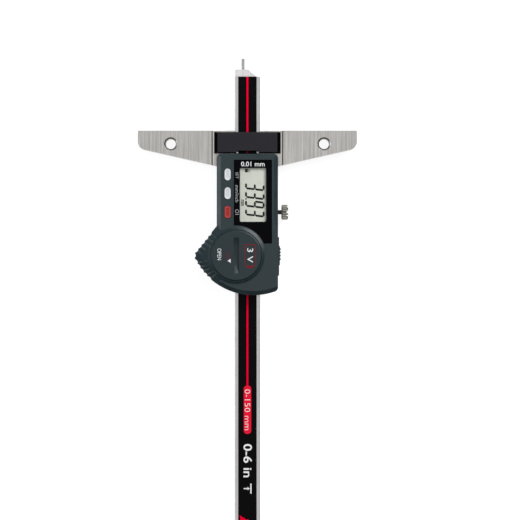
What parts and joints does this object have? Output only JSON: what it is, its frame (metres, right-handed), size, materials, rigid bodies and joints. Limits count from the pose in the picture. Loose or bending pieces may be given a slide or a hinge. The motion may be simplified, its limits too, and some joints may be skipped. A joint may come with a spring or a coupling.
{
  "type": "digital depth caliper",
  "caption": "Digital depth caliper: a beam with a thin measuring pin slides through a cross bridge and a slider that carries the display, lock screw and battery.",
  "frame": {"origin": "where the centreline of the beam crosses the datum face of the bridge, on the plane of the back that the tool lies on", "axes": "+X along the bridge, +Y along the beam out of the datum face towards the pin, +Z out of the display"},
  "size_m": [0.1, 0.2339, 0.0148],
  "materials": {
    "ground_steel": "satin, brushed along Y, with bright ground edges",
    "slider_steel": "satin, finely ground",
    "beam_steel": "satin, ground along the beam",
    "pin_steel": "ground hard steel",
    "knob_steel": "nickel plated, knurled",
    "fasteners": "plain screws with a slot",
    "black_cover": "smooth black with polished bevels",
    "housing_plastic": "dark slate grey, finely grained",
    "window_glass": "black printed glass, clear over the display",
    "lcd_glass": "grey-green liquid crystal display",
    "connector_rubber": "striped contact rubber",
    "board_green": "solder mask",
    "chip_black": "moulded chip packages",
    "contact_metal": "spring contacts",
    "battery_steel": "plated coin cell",
    "button_white": "satin white",
    "button_red": "satin red",
    "black_rubber": "soft black rubber",
    "strip_black": "printed black strip with a red line",
    "gib_bronze": "thin bronze strip",
    "shoe_brass": "turned brass"
  },
  "bodies": {
    "head": {"bridge": "ground_steel", "bridge_cover": "black_cover", "bridge_screws": "fasteners", "slider_frame": "slider_steel", "gib_strip": "gib_bronze", "gib_screws": "fasteners", "wiper_upper": "black_rubber", "wiper_lower": "black_rubber", "housing_base": "housing_plastic", "housing_front": "housing_plastic", "housing_screws": "fasteners", "display_window": "window_glass", "lcd_panel": "lcd_glass", "lcd_connectors": "connector_rubber", "circuit_board": "board_green", "board_components": "chip_black", "dome_switches": "contact_metal", "sensor_board": "board_green", "battery": "battery_steel", "battery_contacts": "contact_metal"},
    "beam": {"beam": "beam_steel", "scale_strip": "strip_black", "measuring_pin": "pin_steel", "end_stop": "slider_steel", "end_stop_screws": "fasteners"},
    "preset_button": {"preset_button": "button_white"},
    "unit_button": {"unit_button": "button_white"},
    "power_button": {"power_button": "button_red"},
    "cover_seal": {"cover_seal": "black_rubber"},
    "battery_cover": {"battery_cover": "housing_plastic"},
    "lock_shoe": {"lock_shoe": "shoe_brass"},
    "lock_screw": {"lock_screw": "knob_steel"}
  },
  "joints": [
    {"name": "beam_slide", "type": "slide", "parent": "head", "child": "beam", "axis": [0, 1, 0], "range_m": [-0.0332, 0.1168]},
    {"name": "lock_feed", "type": "slide", "parent": "head", "child": "lock_shoe", "axis": [1, 0, 0], "range_m": [-0.0002, 0.0006]},
    {"name": "lock_turn", "type": "hinge", "parent": "lock_shoe", "child": "lock_screw", "pos_m": [0, -0.0372, 0.00395], "axis": [1, 0, 0], "range_deg": [-181, 541]},
    {"name": "preset_button_press", "type": "slide", "parent": "head", "child": "preset_button", "axis": [0, 0, -1], "range_m": [0, 0.0005], "stiffness_N_per_m": 1500, "springref_m": -0.0003},
    {"name": "unit_button_press", "type": "slide", "parent": "head", "child": "unit_button", "axis": [0, 0, -1], "range_m": [0, 0.0005], "stiffness_N_per_m": 1500, "springref_m": -0.0003},
    {"name": "power_button_press", "type": "slide", "parent": "head", "child": "power_button", "axis": [0, 0, -1], "range_m": [0, 0.0005], "stiffness_N_per_m": 1500, "springref_m": -0.0003},
    {"name": "cover_lift", "type": "slide", "parent": "head", "child": "cover_seal", "axis": [0, 0, 1], "range_m": [0, 0.012]},
    {"name": "cover_turn", "type": "hinge", "parent": "cover_seal", "child": "battery_cover", "pos_m": [-0.005, -0.057, 0.0125], "axis": [0, 0, 1], "range_deg": [0, 90]}
  ],
  "couplings": [
    {"joint": "lock_turn", "follows": "lock_feed", "rad_per_m": 15708}
  ]
}
